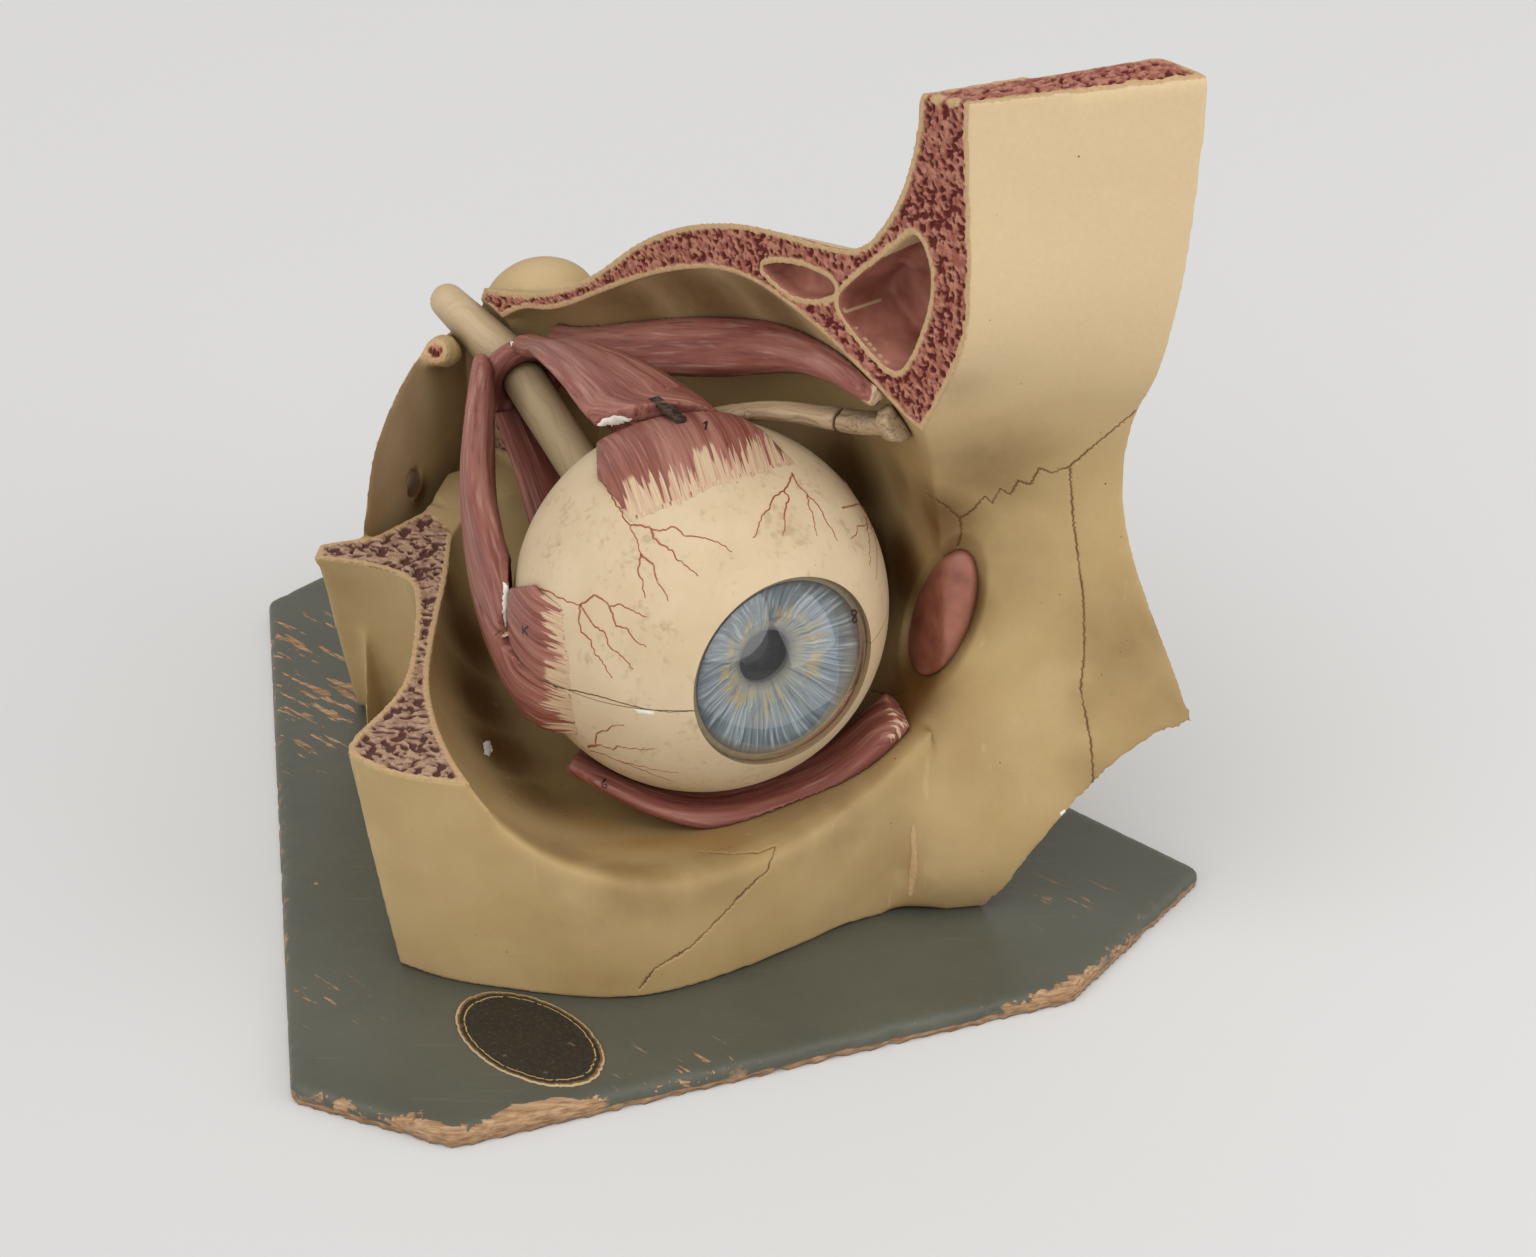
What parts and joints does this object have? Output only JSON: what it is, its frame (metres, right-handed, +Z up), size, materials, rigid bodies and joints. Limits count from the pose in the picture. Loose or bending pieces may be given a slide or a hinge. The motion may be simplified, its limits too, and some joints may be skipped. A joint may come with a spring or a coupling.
{
  "type": "eye anatomy model",
  "caption": "Painted plaster model of a right eye, five times natural size, in its sawn bony orbit on a wooden board; the upper half of the globe and one muscle lift off.",
  "frame": {"origin": "on the underside of the board, straight below the centre of the eyeball", "axes": "+Z up from the board, -Y the way the eye looks, +X towards the nose"},
  "size_m": [0.3091, 0.3975, 0.298],
  "materials": {
    "board_paint": "satin grey-green paint on wood, rubbed through at the edges",
    "label_paper": "matte black paper label with a gilt line, no text",
    "screw_steel": "plain steel",
    "hook_steel": "thin bent strap, painted cream and worn",
    "bone_paint": "painted plaster, buff with brown shading, slight gloss",
    "sac_paint": "painted plaster, pink, glossy",
    "sclera_paint": "painted plaster, cream, with fine vessels",
    "choroid_paint": "painted plaster, dark brown",
    "iris_paint": "painted card-thin disc, blue-grey with radial strokes",
    "clear_glass": "clear glass",
    "vitreous_cast": "pale translucent casting",
    "muscle_paint": "painted plaster, brick red with darker fibres",
    "nerve_paint": "painted plaster, cream",
    "tendon_paint": "painted plaster, cream and pale pink"
  },
  "bodies": {
    "orbit": {"base_board": "board_paint", "board_label": "label_paper", "base_screws": "screw_steel", "frontal_bone": "bone_paint", "nasal_bone": "bone_paint", "maxilla": "bone_paint", "zygomatic_bone": "bone_paint", "sphenoid_bone": "bone_paint", "lacrimal_sac": "sac_paint", "sclera_lower": "sclera_paint", "choroid_lower": "choroid_paint", "iris": "iris_paint", "cornea": "clear_glass", "seam_pins": "screw_steel", "lateral_rectus": "muscle_paint", "medial_rectus": "muscle_paint", "inferior_rectus": "muscle_paint", "inferior_oblique": "muscle_paint", "superior_oblique": "muscle_paint", "trochlea": "tendon_paint", "trochlear_tendon": "tendon_paint", "optic_nerve": "nerve_paint", "optic_nerve_stub": "nerve_paint", "tendinous_ring": "tendon_paint"},
    "upper_half": {"sclera_upper": "sclera_paint", "choroid_upper": "choroid_paint", "superior_insertion": "muscle_paint", "lateral_insertion_upper": "muscle_paint", "medial_insertion_upper": "muscle_paint", "oblique_tendon": "tendon_paint"},
    "superior_rectus": {"superior_rectus": "muscle_paint", "hook_strap": "hook_steel"},
    "contents": {"vitreous_body": "vitreous_cast", "lens": "clear_glass", "ciliary_ring": "choroid_paint"}
  },
  "joints": [
    {"name": "upper_half_lift", "type": "slide", "parent": "orbit", "child": "upper_half", "axis": [-0.0785, 0, 0.9969], "range_m": [0, 0.009]},
    {"name": "contents_lift", "type": "slide", "parent": "orbit", "child": "contents", "axis": [-0.0785, 0, 0.9969], "range_m": [0, 0.0045]},
    {"name": "superior_rectus_lift", "type": "slide", "parent": "upper_half", "child": "superior_rectus", "axis": [0, 0, 1], "range_m": [0, 0.07]}
  ],
  "couplings": [
    {"joint": "contents_lift", "follows": "upper_half_lift", "ratio": 0.5}
  ]
}
